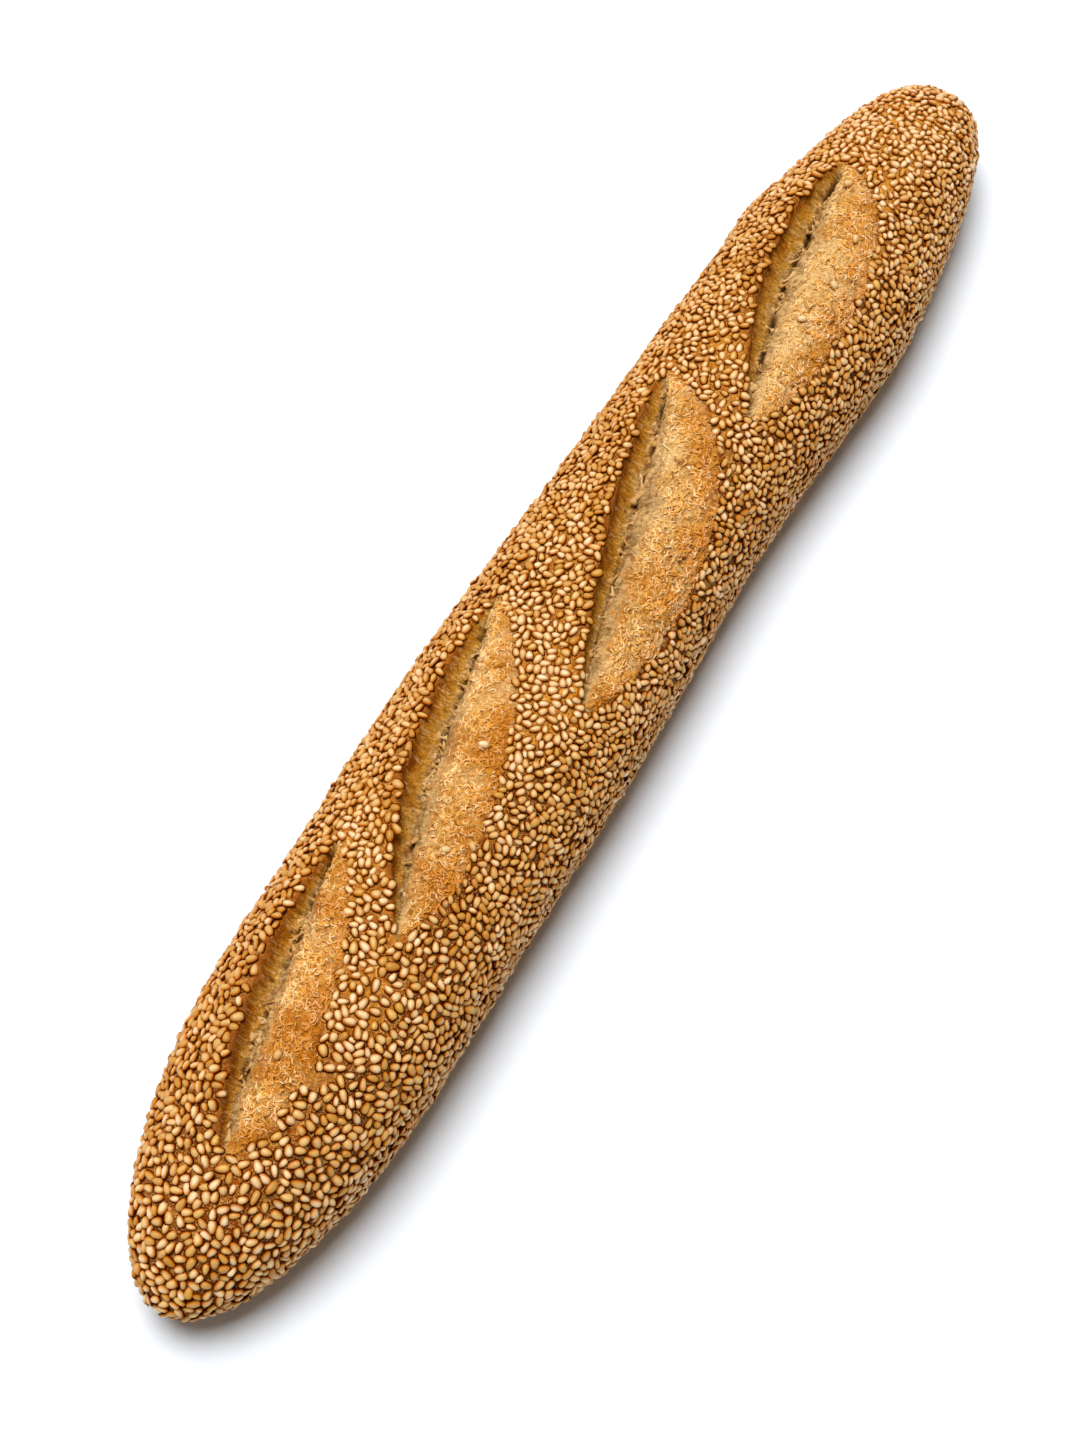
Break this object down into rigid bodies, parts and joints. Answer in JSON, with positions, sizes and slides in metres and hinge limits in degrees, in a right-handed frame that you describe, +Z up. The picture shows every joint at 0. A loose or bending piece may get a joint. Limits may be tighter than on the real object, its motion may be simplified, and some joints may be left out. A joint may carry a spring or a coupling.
{
  "type": "sesame baguette",
  "caption": "Long loaf with rounded ends, a flat underside, slanting slashes that open under raised ears, and a crust covered in sesame seeds.",
  "frame": {"origin": "on the table under the middle of the loaf's box", "axes": "+X along the loaf towards its narrower, blunter end, +Z up, -Y towards the side to which the slashes open"},
  "size_m": [0.424, 0.066, 0.0492],
  "materials": {
    "crust": "golden-brown baked crust, satin where it is bare, with low swells",
    "seed": "hulled sesame seeds, pale cream to toasted gold, satin",
    "crumb": "burst crumb in the slashes, matt, fine and flaky, paler in the bottom of the cuts"
  },
  "bodies": {
    "root": {"loaf": "crust"}
  },
  "joints": []
}
